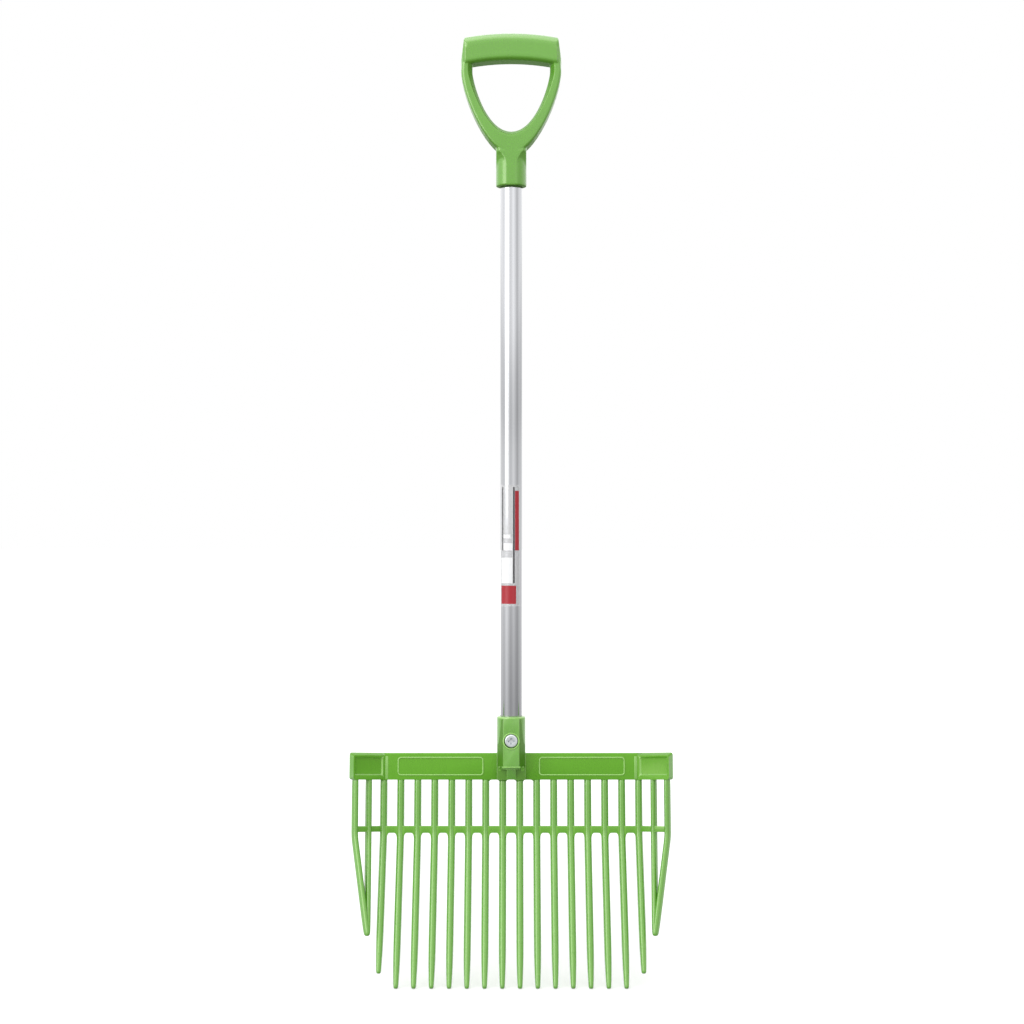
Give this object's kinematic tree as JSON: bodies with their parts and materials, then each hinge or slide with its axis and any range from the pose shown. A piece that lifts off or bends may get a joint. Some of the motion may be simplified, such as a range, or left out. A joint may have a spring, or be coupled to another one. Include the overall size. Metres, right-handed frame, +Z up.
{
  "type": "manure fork",
  "caption": "Long-handled manure fork: moulded D grip, round aluminium shaft and a wide moulded basket head of curved tines with a cross rail and wings folded forward.",
  "frame": {"origin": "middle of the underside of the grip bar, on the shaft's axis, where a hook carries the fork", "axes": "+Z up along the shaft from the tines to the grip, -Y to the front, where the tines reach, +X to the right as seen from the front"},
  "size_m": [0.4136, 0.1468, 1.2035],
  "materials": {
    "green_plastic": "satin injection-moulded polypropylene",
    "tube_aluminium": "drawn and anodised",
    "zinc_steel": "bright zinc plating",
    "label_film": "printed film"
  },
  "bodies": {
    "root": {"grip": "green_plastic", "grip_screw": "zinc_steel", "shaft": "tube_aluminium", "shaft_label": "label_film", "head_body": "green_plastic", "cross_rail": "green_plastic", "tine_01": "green_plastic", "tine_02": "green_plastic", "tine_03": "green_plastic", "tine_04": "green_plastic", "tine_05": "green_plastic", "tine_06": "green_plastic", "tine_07": "green_plastic", "tine_08": "green_plastic", "tine_09": "green_plastic", "tine_10": "green_plastic", "tine_11": "green_plastic", "tine_12": "green_plastic", "tine_13": "green_plastic", "tine_14": "green_plastic", "tine_15": "green_plastic", "tine_16": "green_plastic", "left_outer_tine": "green_plastic", "left_inner_tine": "green_plastic", "right_inner_tine": "green_plastic", "right_outer_tine": "green_plastic", "socket_bolt": "zinc_steel", "bolt_washer": "zinc_steel", "bolt_nut": "zinc_steel"}
  },
  "joints": []
}
